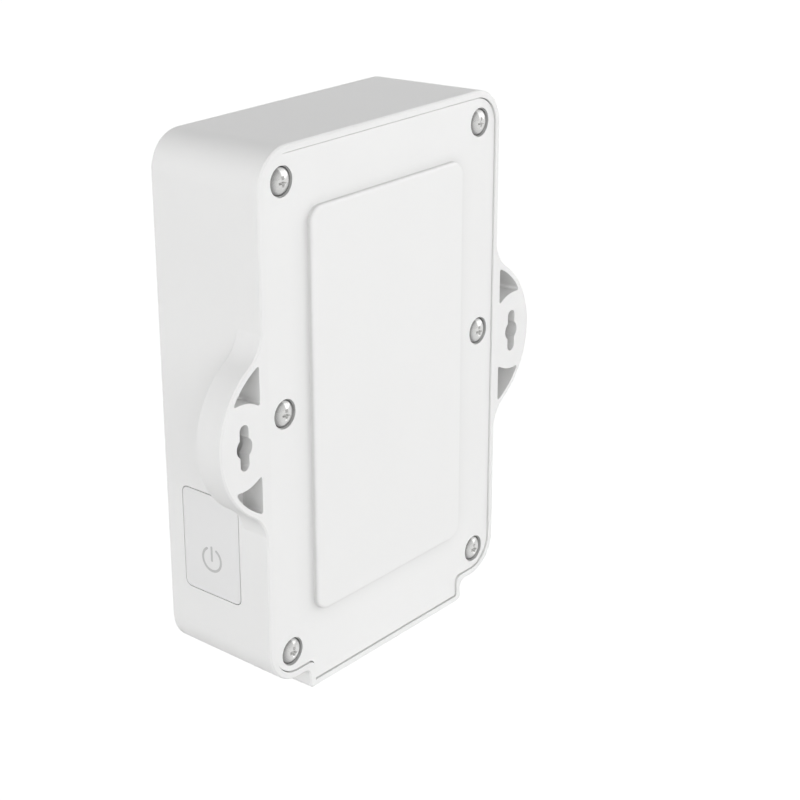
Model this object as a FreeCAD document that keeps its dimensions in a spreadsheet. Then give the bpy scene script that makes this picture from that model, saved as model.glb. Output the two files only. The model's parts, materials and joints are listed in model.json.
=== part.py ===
"""Wall-mounted temperature and humidity sensor, in millimetres.

Frame: -Y is the front, +Y the rear cover, +X the side with the power button, +Z up.
Origin: middle of the width and of the depth, at the foot of the lower tab.
A "depth" is measured from the plane of the rear rim towards the front.
"""
import FreeCAD, Part
import math
import os
import Sketcher

SIZES = {
    # Housing
    "body_width": 70.0,
    "body_height": 103.8,
    "housing_depth": 26.8,
    "corner_radius": 7.5,
    "draft_angle": 1.2,
    "front_edge_radius": 0.8,
    "rim_edge": 0.3,
    "bevel_angle": 45.0,
    "wall": 2.8,
    "front_wall": 2.2,
    "rim_width": 1.4,
    # Lower tab with the sensor chamber
    "tab_inset": 11.0,
    "tab_drop": 4.4,
    "tab_corner_radius": 1.2,
    "tab_notch_radius": 1.5,
    "chamber_inset": 6.0,
    "chamber_height": 7.0,
    "chamber_corner_radius": 1.0,
    "tab_floor": 2.0,
    "partition": 1.6,
    "vent_width": 1.2,
    "vent_length": 10.0,
    "vent_pitch": 2.4,
    "vent_count": 7,
    # Rear cover
    "cover_gap": 0.2,
    "cover_recess": 0.35,
    "cover_thickness": 2.0,
    "panel_inset_x": 12.8,
    "panel_inset_z": 12.0,
    "panel_rise": 1.1,
    "panel_corner_radius": 3.0,
    "panel_edge_radius": 0.6,
    "panel_border": 2.0,
    # Middle row of the ears, the panel and the screw pattern
    "row_drop": 0.3,
    "screw_inset_x": 6.4,
    "screw_inset_z": 6.1,
    "middle_screw_inset": 5.9,
    "middle_screw_rise": 2.9,
    # Screw bosses and cover screws
    "boss_reach": 5.2,
    "boss_corner_radius": 3.0,
    "cavity_corner_radius": 1.6,
    "collar_radius": 3.2,
    "collar_height": 1.4,
    "collar_gap": 0.15,
    "counterbore_radius": 2.85,
    "counterbore_depth": 0.65,
    "screw_clearance": 0.2,
    "screw_head_radius": 2.65,
    "screw_head_height": 1.6,
    "screw_crown": 0.7,
    "screw_shank_radius": 1.25,
    "screw_shank_length": 8.0,
    "pilot_gap": 0.05,
    "pilot_spare_depth": 1.5,
    # Gasket
    "gasket_width": 1.0,
    "gasket_thickness": 1.2,
    # Ears
    "ear_reach": 11.3,
    "ear_radius": 17.0,
    "ear_blend_radius": 8.0,
    "ear_thickness": 6.0,
    "ear_wall": 1.2,
    "ear_bite": 0.15,
    "ear_pocket_inset": 0.9,
    "ear_pocket_depth": 5.0,
    "ear_pocket_corner": 0.4,
    "keyhole_offset": 5.2,
    "keyhole_boss_offset": 6.0,
    "keyhole_boss_radius": 8.3,
    "keyhole_radius": 2.0,
    "keyhole_slot_width": 2.3,
    "keyhole_length": 8.8,
    "keyhole_plate": 2.4,
    "head_room_width": 5.4,
    "head_room_length": 11.4,
    "head_room_depth": 2.4,
    # Power button and its seal
    "button_width": 14.5,
    "button_height": 20.7,
    "button_corner_radius": 1.3,
    "button_rise": 15.0,
    "button_gap": 0.2,
    "button_travel": 0.4,
    "button_flange": 1.0,
    "button_flange_thickness": 0.8,
    "button_flange_gap": 0.1,
    "button_stem_radius": 1.5,
    "button_stem_gap": 0.05,
    "seal_gap": 0.3,
    "seal_thickness": 1.2,
    "seal_width": 15.0,
    "seal_corner_radius": 1.0,
    "guide_rib": 1.4,
    "guide_gap": 0.2,
    # Main board and its posts
    "board_side_gap": 0.4,
    "board_foot_gap": 1.8,
    "board_top_gap": 1.0,
    "board_thickness": 1.6,
    "board_corner_radius": 1.5,
    "post_height": 4.4,
    "post_radius": 2.4,
    "post_inset_x": 3.5,
    "post_inset_z": 4.5,
    "board_hole_radius": 1.1,
    "board_screw_head_radius": 1.9,
    "board_screw_head_height": 1.3,
    "board_screw_radius": 0.8,
    "board_screw_length": 4.6,
    # Tactile switch
    "switch_width": 6.0,
    "switch_rise": 6.0,
    "switch_depth": 3.5,
    "switch_axis_rise": 3.8,
    "switch_edge_inset": 0.2,
    "plunger_radius": 1.75,
    "plunger_reach": 1.4,
    "plunger_root": 1.0,
    "plunger_gap": 0.05,
    # Batteries, holder and contacts
    "room_below_cells": 25.75,
    "room_above_cells": 8.55,
    "cell_nub_radius": 2.75,
    "cell_nub_height": 1.2,
    "cell_edge": 0.6,
    "cell_spacing": 1.9,
    "cell_gap": 0.1,
    "holder_base": 1.2,
    "holder_wall": 1.4,
    "holder_end_wall": 1.6,
    "holder_side_height": 8.0,
    "holder_end_height": 12.0,
    "contact_thickness": 0.4,
    "contact_width": 9.0,
    "contact_height": 10.0,
    "contact_bow": 2.0,
    "pad_width": 26.0,
    "pad_height": 36.0,
    "pad_thickness": 1.5,
    "pad_corner_radius": 2.0,
    "pad_gap": 0.05,
    # Chips and modules on the main board
    "module_size": 17.0,
    "module_board": 0.8,
    "module_can_inset": 0.8,
    "module_can_height": 2.2,
    "module_corner_radius": 0.8,
    "module_can_edge": 0.3,
    "module_side_inset": 2.0,
    "module_foot_inset": 7.4,
    "chip_size": 7.0,
    "chip_thickness": 1.0,
    "chip_bevel": 0.3,
    "chip_x": 8.0,
    "chip_rise": 10.6,
    "antenna_width": 26.0,
    "antenna_rise": 4.2,
    "antenna_metal": 0.4,
    "antenna_height": 4.0,
    "antenna_leg_pitch": 6.0,
    "antenna_drop": 1.2,
    "coil_width": 36.0,
    "coil_height": 28.0,
    "coil_track": 6.0,
    "coil_thickness": 0.2,
    "coil_corner_radius": 3.0,
    "coil_rise": 8.0,
    # Status light
    "light_drop": 7.4,
    "pipe_radius": 1.5,
    "pipe_gap": 0.05,
    "pipe_flange_radius": 2.4,
    "pipe_flange_thickness": 0.8,
    "pipe_led_gap": 0.1,
    "led_width": 1.6,
    "led_height": 0.8,
    "led_thickness": 0.7,
    # Sensor board, chip, membrane and leads
    "sensor_board_inset": 5.0,
    "sensor_board_depth": 13.0,
    "sensor_board_thickness": 1.0,
    "sensor_rib": 1.2,
    "sensor_rib_height": 3.4,
    "sensor_rib_inset": 1.5,
    "sensor_size": 2.5,
    "sensor_thickness": 0.9,
    "membrane_width": 18.0,
    "membrane_depth": 12.0,
    "membrane_thickness": 0.3,
    "membrane_corner_radius": 1.0,
    "lead_count": 4,
    "lead_pitch": 2.0,
    "lead_radius": 0.3,
    "lead_rise": 2.2,
    "lead_gap": 0.05,
    "connector_width": 10.0,
    "connector_rise": 4.6,
    "connector_height": 5.0,
    "lead_engagement": 4.0,
    "lead_seal_width": 9.6,
    "lead_seal_depth": 3.0,
    "lead_seal_lip": 1.0,
    "lead_seal_lip_thickness": 0.8,
}

doc = FreeCAD.newDocument("TemperatureHumiditySensor")


def fill_sheet():
    """Write the driving dimensions into the spreadsheet, one alias a row."""
    sheet = doc.addObject("Spreadsheet::Sheet", "Sizes")
    for row, (name, number) in enumerate(SIZES.items(), start=1):
        sheet.set(f"A{row}", name)
        sheet.set(f"B{row}", str(number))
        sheet.setAlias(f"B{row}", name)
    doc.recompute()


class Size:
    """A number together with the spreadsheet expression that gives it."""

    def __init__(self, number, text):
        self.number = number
        self.text = text

    def __add__(self, other):
        other = as_size(other)
        return Size(self.number + other.number, f"({self.text} + {other.text})")

    def __sub__(self, other):
        other = as_size(other)
        return Size(self.number - other.number, f"({self.text} - {other.text})")

    def __mul__(self, other):
        other = as_size(other)
        return Size(self.number * other.number, f"({self.text} * {other.text})")

    def __truediv__(self, other):
        other = as_size(other)
        return Size(self.number / other.number, f"({self.text} / {other.text})")

    def __neg__(self):
        return Size(-self.number, f"(-1 * {self.text})")

    def __radd__(self, other):
        return as_size(other) + self

    def __rsub__(self, other):
        return as_size(other) - self


def as_size(value):
    """Turn a plain number into a Size and leave a Size as it is."""
    if isinstance(value, Size):
        return value
    return Size(float(value), f"{float(value)}")


class Sheet:
    """Gives each driving dimension by its alias, as in S.body_width."""

    def __getattr__(self, name):
        return Size(float(SIZES[name]), f"Sizes.{name}")


def tangent(angle):
    """Tangent of an angle in degrees."""
    return Size(math.tan(math.radians(angle.number)), f"tan({angle.text} * 1 deg)")


def root(value):
    """Square root."""
    return Size(math.sqrt(value.number), f"sqrt({value.text})")


S = Sheet()
ZERO = as_size(0)

# Places that several pieces share
HALF_BODY = S.body_width / 2
BODY_FOOT = S.tab_drop
BODY_TOP = S.tab_drop + S.body_height
TAB_WIDTH = S.body_width - S.tab_inset * 2
CHAMBER_WIDTH = TAB_WIDTH - S.chamber_inset * 2
ROW_HEIGHT = BODY_FOOT + S.body_height / 2 - S.row_drop
PANEL_WIDTH = S.body_width - S.panel_inset_x * 2
PANEL_HEIGHT = S.body_height - S.panel_inset_z * 2
OVERALL_DEPTH = S.housing_depth - S.cover_recess + S.panel_rise
RIM_Y = S.housing_depth - OVERALL_DEPTH / 2
LEDGE_DEPTH = S.cover_recess + S.cover_thickness
INNER_FRONT_DEPTH = S.housing_depth - S.front_wall
HALF_CAVITY = HALF_BODY - S.wall
CAVITY_TOP = BODY_TOP - S.wall
CHAMBER_TOP = S.tab_floor + S.chamber_height
CAVITY_FOOT = CHAMBER_TOP + S.partition

# Cover screws on the button side, from the lowest up, each as (x, z)
SCREW_X = HALF_BODY - S.screw_inset_x
SCREW_REACH = S.body_height / 2 - S.screw_inset_z
SCREW_PLACES = [
    (SCREW_X, ROW_HEIGHT - SCREW_REACH),
    (HALF_BODY - S.middle_screw_inset, ROW_HEIGHT + S.middle_screw_rise),
    (SCREW_X, ROW_HEIGHT + SCREW_REACH),
]

# Ears
EAR_MIDDLE = HALF_BODY + S.ear_reach - S.ear_radius
KEYHOLE_X = HALF_BODY + S.keyhole_offset
KEYHOLE_BOSS_X = HALF_BODY + S.keyhole_boss_offset

# Main board between the bosses, and what it carries
BOARD_WIDTH = (SCREW_X - S.boss_reach - S.board_side_gap) * 2
BOARD_FOOT = CAVITY_FOOT + S.board_foot_gap
BOARD_TOP = CAVITY_TOP - S.board_top_gap
BOARD_HEIGHT = BOARD_TOP - BOARD_FOOT
BOARD_MIDDLE_Z = BOARD_FOOT + BOARD_HEIGHT / 2
BOARD_FRONT_DEPTH = INNER_FRONT_DEPTH - S.post_height
BOARD_REAR_DEPTH = BOARD_FRONT_DEPTH - S.board_thickness
POST_SPACING_X = BOARD_WIDTH - S.post_inset_x * 2
POST_SPACING_Z = BOARD_HEIGHT - S.post_inset_z * 2
MODULE_X = S.module_side_inset + S.module_size / 2 - BOARD_WIDTH / 2
MODULE_Z = BOARD_FOOT + S.module_foot_inset + S.module_size / 2
CHIP_Z = BOARD_FOOT + S.chip_rise
ANTENNA_FOOT_Z = BOARD_TOP - S.antenna_drop - S.antenna_height
LIGHT_Z = BOARD_TOP - S.light_drop
COIL_Z = ROW_HEIGHT + S.coil_rise

# Cells, which fill the room between the tray and the cover's pad
HOLLOW_DEPTH = LEDGE_DEPTH - S.panel_rise
CELL_ROOM = BOARD_REAR_DEPTH - S.holder_base - S.cell_gap - HOLLOW_DEPTH - S.pad_thickness - S.pad_gap
CELL_RADIUS = CELL_ROOM / 2
CELL_DEPTH = BOARD_REAR_DEPTH - S.holder_base - S.cell_gap - CELL_RADIUS
CELL_PITCH = CELL_RADIUS * 2 + S.cell_spacing
HOLDER_LENGTH = BOARD_HEIGHT - S.room_below_cells - S.room_above_cells
HOLDER_ENDS = (S.contact_thickness + S.holder_end_wall) * 2 + S.contact_bow
CELL_LENGTH = HOLDER_LENGTH - HOLDER_ENDS - S.cell_nub_height
CELL_MIDDLE_Z = BOARD_FOOT + S.room_below_cells + HOLDER_LENGTH / 2
CELL_SHIFT = (S.contact_bow - S.cell_nub_height) / 2

# Button, seal and switch along the button's axis
BUTTON_DEPTH = BOARD_REAR_DEPTH - S.switch_axis_rise
BUTTON_Z = ROW_HEIGHT - SCREW_REACH + S.boss_reach + S.button_rise
SWITCH_FACE_X = BOARD_WIDTH / 2 - S.switch_edge_inset
PLUNGER_TIP_X = SWITCH_FACE_X + S.plunger_reach
FLANGE_FACE_X = HALF_CAVITY - S.button_flange_gap
FLANGE_BACK_X = FLANGE_FACE_X - S.button_flange_thickness
SEAL_FACE_X = FLANGE_BACK_X - S.button_travel - S.seal_gap
SEAL_BACK_X = SEAL_FACE_X - S.seal_thickness
GUIDE_HALF = S.button_height / 2 + S.button_flange + S.guide_gap
GUIDE_START_DEPTH = BUTTON_DEPTH - S.button_width / 2 - S.button_flange - S.guide_gap

# Sensor chamber
SENSOR_DEPTH = (LEDGE_DEPTH + INNER_FRONT_DEPTH) / 2
SENSOR_BOARD_Z = S.tab_floor + S.sensor_rib_height
SENSOR_BOARD_WIDTH = CHAMBER_WIDTH - S.sensor_board_inset * 2
SENSOR_RIB_SPACING = SENSOR_BOARD_WIDTH - S.sensor_rib_inset * 2
LEAD_DEPTH = BOARD_REAR_DEPTH - S.lead_rise
LEAD_FOOT_Z = SENSOR_BOARD_Z + S.sensor_board_thickness
CONNECTOR_Z = BOARD_FOOT + S.lead_seal_lip_thickness


# Document helpers

def new_body(name):
    """Start a part; its label is the name of its node."""
    body = doc.addObject("PartDesign::Body", name)
    body.Label = name
    return body


def seat(part, x=ZERO, depth=ZERO, z=ZERO):
    """Place a part by its distance in front of the rear rim plane."""
    part.setExpression("Placement.Base.x", as_size(x).text)
    part.setExpression("Placement.Base.y", (RIM_Y - depth).text)
    part.setExpression("Placement.Base.z", as_size(z).text)
    return part


def origin_feature(body, role):
    """One of a body's own planes or axes."""
    for feature in body.Origin.OriginFeatures:
        if feature.Role == role:
            return feature
    raise ValueError(f"no {role} in {body.Name}")


def new_sketch(body, name, role="XZ_Plane", lift=ZERO):
    """Sketch on an origin plane of its body, lifted along the plane's normal."""
    sketch = body.newObject("Sketcher::SketchObject", name)
    sketch.AttachmentSupport = [(origin_feature(body, role), "")]
    sketch.MapMode = "FlatFace"
    sketch.setExpression("AttachmentOffset.Base.z", as_size(lift).text)
    return sketch


def rule(kind, *places):
    """Constraint that holds no dimension."""
    return Sketcher.Constraint(kind, *places), None


def dimension(kind, places, value):
    """Constraint with a dimension and the expression that drives it."""
    value = as_size(value)
    return Sketcher.Constraint(kind, *places, value.number), value.text


def distance(axis, geometry, point, value):
    """Distance of a point from the sketch's origin along X or Y."""
    value = as_size(value)
    if abs(value.number) < 1e-9:
        own_axis = -2 if axis == "X" else -1
        return rule("PointOnObject", geometry, point, own_axis)
    if value.number > 0:
        return dimension(f"Distance{axis}", (-1, 1, geometry, point), value)
    return dimension(f"Distance{axis}", (geometry, point, -1, 1), -value)


def apply(sketch, rules):
    """Add constraints together and bind their dimensions."""
    first = sketch.ConstraintCount
    sketch.addConstraint([constraint for constraint, _ in rules])
    for index, (_, text) in enumerate(rules, start=first):
        if text is not None:
            sketch.setExpression(f"Constraints[{index}]", text)


def vector(x, y):
    return FreeCAD.Vector(as_size(x).number, as_size(y).number, 0)


def circle(sketch, x, y, radius):
    """Circle at a place."""
    shape = Part.Circle(vector(x, y), FreeCAD.Vector(0, 0, 1), as_size(radius).number)
    index = sketch.addGeometry(shape)
    apply(sketch, [
        dimension("Radius", (index,), radius),
        distance("X", index, 3, x),
        distance("Y", index, 3, y),
    ])


def arc_between(centre, radius, start, end):
    """Arc drawn anticlockwise from start to end about a centre."""
    first = math.atan2(start.y - centre.y, start.x - centre.x)
    last = math.atan2(end.y - centre.y, end.x - centre.x)
    if last <= first:
        last += 2 * math.pi
    ring = Part.Circle(centre, FreeCAD.Vector(0, 0, 1), as_size(radius).number)
    return Part.ArcOfCircle(ring, first, last)


def corner_arc(last, here, following, radius):
    """Rounded corner: the arc, where it starts and ends, and its first and last point."""
    towards_last = (last - here).normalize()
    towards_next = (following - here).normalize()
    entry = here + towards_last * radius
    leave = here + towards_next * radius
    centre = here + (towards_last + towards_next) * radius
    turns_left = (entry - here).cross(leave - here).z < 0
    if turns_left:
        return arc_between(centre, radius, entry, leave), entry, leave, 1, 2
    return arc_between(centre, radius, leave, entry), entry, leave, 2, 1


def outline(sketch, corners):
    """Closed loop of level and upright runs; each corner is (x, y, radius or None)."""
    count = len(corners)
    points = [vector(x, y) for x, y, _ in corners]
    rounds = []
    for index, (_, _, radius) in enumerate(corners):
        here = points[index]
        following = points[(index + 1) % count]
        if radius is None:
            rounds.append((None, here, here, None, None))
        else:
            rounds.append(corner_arc(points[index - 1], here, following, as_size(radius).number))
    first = sketch.GeometryCount
    shapes = []
    for index in range(count):
        leave = rounds[index][2]
        entry = rounds[(index + 1) % count][1]
        shapes.append(Part.LineSegment(leave, entry))
    rules = []
    for index in range(count):
        before = first + (index - 1) % count
        after = first + index
        arc, _, _, arc_entry, arc_exit = rounds[index]
        if arc is None:
            rules.append(rule("Coincident", before, 2, after, 1))
            continue
        place = first + len(shapes)
        shapes.append(arc)
        rules.append(rule("Tangent", before, 2, place, arc_entry))
        rules.append(rule("Tangent", place, arc_exit, after, 1))
        rules.append(dimension("Radius", (place,), corners[index][2]))
    for index in range(count):
        line = first + index
        x, y, _ = corners[index]
        run = points[(index + 1) % count] - points[index]
        if abs(run.x) > abs(run.y):
            rules.append(rule("Horizontal", line))
            rules.append(distance("Y", line, 1, y))
        else:
            rules.append(rule("Vertical", line))
            rules.append(distance("X", line, 1, x))
    sketch.addGeometry(shapes)
    apply(sketch, rules)


def rectangle(sketch, x, y, width, height, radius=None):
    """Rectangle about a middle point, with equal corners."""
    left = x - width / 2
    right = x + width / 2
    foot = y - height / 2
    top = y + height / 2
    outline(sketch, [(left, foot, radius), (right, foot, radius), (right, top, radius), (left, top, radius)])


def slot(sketch, x, y, width, length):
    """Upright round-ended slot about a middle point."""
    radius = width / 2
    reach = (length - width) / 2
    upper = vector(x, y + reach)
    lower = vector(x, y - reach)
    right = vector(radius, 0)
    top_arc = sketch.GeometryCount
    foot_arc = top_arc + 1
    left_side = top_arc + 2
    right_side = top_arc + 3
    sketch.addGeometry([
        arc_between(upper, radius, upper + right, upper - right),
        arc_between(lower, radius, lower - right, lower + right),
        Part.LineSegment(upper - right, lower - right),
        Part.LineSegment(lower + right, upper + right),
    ])
    apply(sketch, [
        rule("Tangent", top_arc, 2, left_side, 1),
        rule("Tangent", left_side, 2, foot_arc, 1),
        rule("Tangent", foot_arc, 2, right_side, 1),
        rule("Coincident", right_side, 2, top_arc, 1),
        rule("Equal", top_arc, foot_arc),
        rule("Vertical", right_side),
        dimension("Radius", (top_arc,), radius),
        distance("X", top_arc, 3, x),
        distance("Y", top_arc, 3, y + reach),
        distance("Y", foot_arc, 3, y - reach),
    ])


def pad(body, sketch, length, reverse=False, taper=None):
    """Raise a sketch along its normal, or against it."""
    feature = body.newObject("PartDesign::Pad", f"{sketch.Name}_pad")
    feature.Profile = sketch
    feature.Reversed = reverse
    feature.setExpression("Length", as_size(length).text)
    if taper is not None:
        feature.setExpression("TaperAngle", as_size(taper).text)
    sketch.Visibility = False
    return feature


def pocket(body, sketch, length, along_normal=True):
    """Cut a sketch along its normal, or against it, and check that it cuts."""
    doc.recompute()
    before = body.Tip.Shape.Volume
    feature = body.newObject("PartDesign::Pocket", f"{sketch.Name}_pocket")
    feature.Profile = sketch
    feature.Reversed = along_normal
    feature.setExpression("Length", as_size(length).text)
    sketch.Visibility = False
    doc.recompute()
    if not feature.Shape.Volume < before:
        raise ValueError(f"{feature.Name} cuts nothing")
    return feature


def edge_names(shape, chosen):
    """Names of the edges that a test chooses."""
    names = []
    for index, edge in enumerate(shape.Edges, start=1):
        if chosen(edge):
            names.append(f"Edge{index}")
    return names


def fillet(body, radius, chosen):
    """Round the edges of the body's tip that the test chooses."""
    doc.recompute()
    base = body.Tip
    feature = body.newObject("PartDesign::Fillet", f"{base.Name}_fillet")
    feature.Base = (base, edge_names(base.Shape, chosen))
    feature.setExpression("Radius", as_size(radius).text)
    doc.recompute()
    return feature


def chamfer(body, size, chosen):
    """Bevel the edges of the body's tip that the test chooses."""
    doc.recompute()
    base = body.Tip
    feature = body.newObject("PartDesign::Chamfer", f"{base.Name}_chamfer")
    feature.Base = (base, edge_names(base.Shape, chosen))
    feature.setExpression("Size", as_size(size).text)
    doc.recompute()
    return feature


def mirrored(body, originals, role="YZ_Plane"):
    """Repeat features on the other side of an origin plane."""
    feature = body.newObject("PartDesign::Mirrored", f"{originals[0].Name}_mirrored")
    feature.Originals = originals
    feature.MirrorPlane = (origin_feature(body, role), [""])
    body.Tip = feature
    return feature


def revolved(name, profile):
    """Body turned about its own upright axis from a stepped half profile."""
    body = new_body(name)
    sketch = new_sketch(body, f"{name}_profile")
    outline(sketch, profile)
    feature = body.newObject("PartDesign::Revolution", f"{name}_turned")
    feature.Profile = sketch
    feature.ReferenceAxis = (sketch, ["V_Axis"])
    feature.Angle = 360
    sketch.Visibility = False
    return body


def block(name, width, length, height, radius=None):
    """Flat body on its own XY plane: width along X, length along Y, height along Z."""
    body = new_body(name)
    sketch = new_sketch(body, f"{name}_plan", "XY_Plane")
    rectangle(sketch, ZERO, ZERO, width, length, radius)
    pad(body, sketch, height)
    return body


def group(name, members):
    """Node that holds several separate solids."""
    compound = doc.addObject("Part::Compound", name)
    compound.Label = name
    compound.Links = members
    return compound


def lies_at(edge, axis, place, tolerance=0.01):
    """True where a whole edge lies in the plane axis = place."""
    box = edge.BoundBox
    low = getattr(box, f"{axis}Min")
    high = getattr(box, f"{axis}Max")
    return abs(low - place) < tolerance and abs(high - place) < tolerance


# Outlines that several pieces share

def tabbed_outline(sketch, inset):
    """The housing's rear outline with its tab, drawn in by an inset."""
    half_tab = TAB_WIDTH / 2 - inset
    half_width = HALF_BODY - inset
    foot = BODY_FOOT + inset
    top = BODY_TOP - inset
    corner = S.corner_radius - inset
    notch = S.tab_notch_radius
    tip = S.tab_corner_radius - inset / 2
    right = [
        (half_tab, inset, tip),
        (half_tab, foot, notch),
        (half_width, foot, corner),
        (half_width, top, corner),
    ]
    left = [(-x, z, radius) for x, z, radius in reversed(right)]
    outline(sketch, right + left)


def cavity_outline(sketch, grow):
    """The sealed compartment's outline round the screw bosses, grown by an offset."""
    corner_x, low_z = SCREW_PLACES[0]
    middle_x, middle_z = SCREW_PLACES[1]
    high_z = SCREW_PLACES[2][1]
    reach = S.boss_reach - grow
    wall_x = HALF_CAVITY + grow
    inner = S.cavity_corner_radius + grow
    outer = S.boss_corner_radius - grow
    right = [
        (corner_x - reach, CAVITY_FOOT - grow, inner),
        (corner_x - reach, low_z + reach, outer),
        (wall_x, low_z + reach, inner),
        (wall_x, middle_z - reach, inner),
        (middle_x - reach, middle_z - reach, outer),
        (middle_x - reach, middle_z + reach, outer),
        (wall_x, middle_z + reach, inner),
        (wall_x, high_z - reach, inner),
        (corner_x - reach, high_z - reach, outer),
        (corner_x - reach, CAVITY_TOP + grow, inner),
    ]
    left = [(-x, z, radius) for x, z, radius in reversed(right)]
    outline(sketch, right + left)


def screw_circles(sketch, radius):
    """A circle at each cover screw."""
    for x, z in SCREW_PLACES:
        circle(sketch, x, z, radius)
        circle(sketch, -x, z, radius)


def post_places():
    """Middle of each main board post."""
    places = []
    for side in (-1, 1):
        for level in (-1, 1):
            places.append((POST_SPACING_X / 2 * side, BOARD_MIDDLE_Z + POST_SPACING_Z / 2 * level))
    return places


def lead_places():
    """Middle of each sensor lead across the width."""
    first = -(S.lead_count - 1) * S.lead_pitch / 2
    return [first + S.lead_pitch * index for index in range(int(S.lead_count.number))]


# Front housing

def ear_sketch(body):
    """Ear on the button side, behind its bevel: a round nose and two hollow blends into the wall."""
    sketch = new_sketch(body, "ear", lift=S.rim_edge)
    blend = S.ear_blend_radius
    nose = S.ear_radius
    wall_x = HALF_BODY - S.ear_bite
    across = wall_x + blend - EAR_MIDDLE
    rise = root((nose + blend) * (nose + blend) - across * across)
    share = nose / (nose + blend)
    buried_x = HALF_BODY - S.wall / 2
    middle = vector(EAR_MIDDLE, ROW_HEIGHT)
    upper = vector(wall_x + blend, ROW_HEIGHT + rise)
    lower = vector(wall_x + blend, ROW_HEIGHT - rise)
    upper_join = middle + (upper - middle) * share.number
    lower_join = middle + (lower - middle) * share.number
    wall_top = vector(wall_x, ROW_HEIGHT + rise)
    wall_foot = vector(wall_x, ROW_HEIGHT - rise)
    buried_top = vector(buried_x, ROW_HEIGHT + rise)
    buried_foot = vector(buried_x, ROW_HEIGHT - rise)
    nose_arc, upper_arc, lower_arc, top_run, back_run, foot_run = range(6)
    sketch.addGeometry([
        arc_between(middle, nose, lower_join, upper_join),
        arc_between(upper, blend, wall_top, upper_join),
        arc_between(lower, blend, lower_join, wall_foot),
        Part.LineSegment(wall_top, buried_top),
        Part.LineSegment(buried_top, buried_foot),
        Part.LineSegment(buried_foot, wall_foot),
    ])
    apply(sketch, [
        rule("Tangent", nose_arc, 2, upper_arc, 2),
        rule("Tangent", nose_arc, 1, lower_arc, 1),
        rule("Coincident", upper_arc, 1, top_run, 1),
        rule("Coincident", lower_arc, 2, foot_run, 2),
        rule("Coincident", top_run, 2, back_run, 1),
        rule("Coincident", back_run, 2, foot_run, 1),
        rule("Horizontal", top_run),
        rule("Horizontal", foot_run),
        rule("Vertical", back_run),
        rule("Horizontal", upper_arc, 3, upper_arc, 1),
        rule("Horizontal", lower_arc, 3, lower_arc, 2),
        dimension("Radius", (nose_arc,), nose),
        dimension("Radius", (upper_arc,), blend),
        dimension("Radius", (lower_arc,), blend),
        distance("X", nose_arc, 3, EAR_MIDDLE),
        distance("Y", nose_arc, 3, ROW_HEIGHT),
        distance("X", upper_arc, 1, wall_x),
        distance("X", lower_arc, 2, wall_x),
        distance("X", back_run, 1, buried_x),
    ])
    return sketch


def ear_hollow_sketch(body):
    """Hollow of the ear: a chord beside the body and an arc inside the nose."""
    sketch = new_sketch(body, "ear_hollow")
    radius = S.ear_radius - S.ear_wall
    chord_x = HALF_BODY + S.ear_pocket_inset
    across = chord_x - EAR_MIDDLE
    rise = root(radius * radius - across * across)
    middle = vector(EAR_MIDDLE, ROW_HEIGHT)
    top = vector(chord_x, ROW_HEIGHT + rise)
    foot = vector(chord_x, ROW_HEIGHT - rise)
    arc, chord = range(2)
    sketch.addGeometry([
        arc_between(middle, radius, foot, top),
        Part.LineSegment(top, foot),
    ])
    apply(sketch, [
        rule("Coincident", arc, 2, chord, 1),
        rule("Coincident", arc, 1, chord, 2),
        rule("Vertical", chord),
        dimension("Radius", (arc,), radius),
        distance("X", arc, 3, EAR_MIDDLE),
        distance("Y", arc, 3, ROW_HEIGHT),
        distance("X", chord, 1, chord_x),
    ])
    return sketch


def keyhole_boss_sketch(body):
    """Boss round the keyhole, closed inside the wall of the ear's nose."""
    sketch = new_sketch(body, "keyhole_boss")
    radius = S.keyhole_boss_radius
    reach = S.ear_radius - S.ear_wall / 2
    gap = KEYHOLE_BOSS_X - EAR_MIDDLE
    across = (reach * reach - radius * radius + gap * gap) / (gap * 2)
    rise = root(reach * reach - across * across)
    upper = vector(EAR_MIDDLE + across, ROW_HEIGHT + rise)
    lower = vector(EAR_MIDDLE + across, ROW_HEIGHT - rise)
    boss_arc, nose_arc = range(2)
    sketch.addGeometry([
        arc_between(vector(KEYHOLE_BOSS_X, ROW_HEIGHT), radius, upper, lower),
        arc_between(vector(EAR_MIDDLE, ROW_HEIGHT), reach, lower, upper),
    ])
    apply(sketch, [
        rule("Coincident", boss_arc, 1, nose_arc, 2),
        rule("Coincident", boss_arc, 2, nose_arc, 1),
        dimension("Radius", (boss_arc,), radius),
        dimension("Radius", (nose_arc,), reach),
        distance("X", boss_arc, 3, KEYHOLE_BOSS_X),
        distance("Y", boss_arc, 3, ROW_HEIGHT),
        distance("X", nose_arc, 3, EAR_MIDDLE),
        distance("Y", nose_arc, 3, ROW_HEIGHT),
    ])
    return sketch


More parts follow.
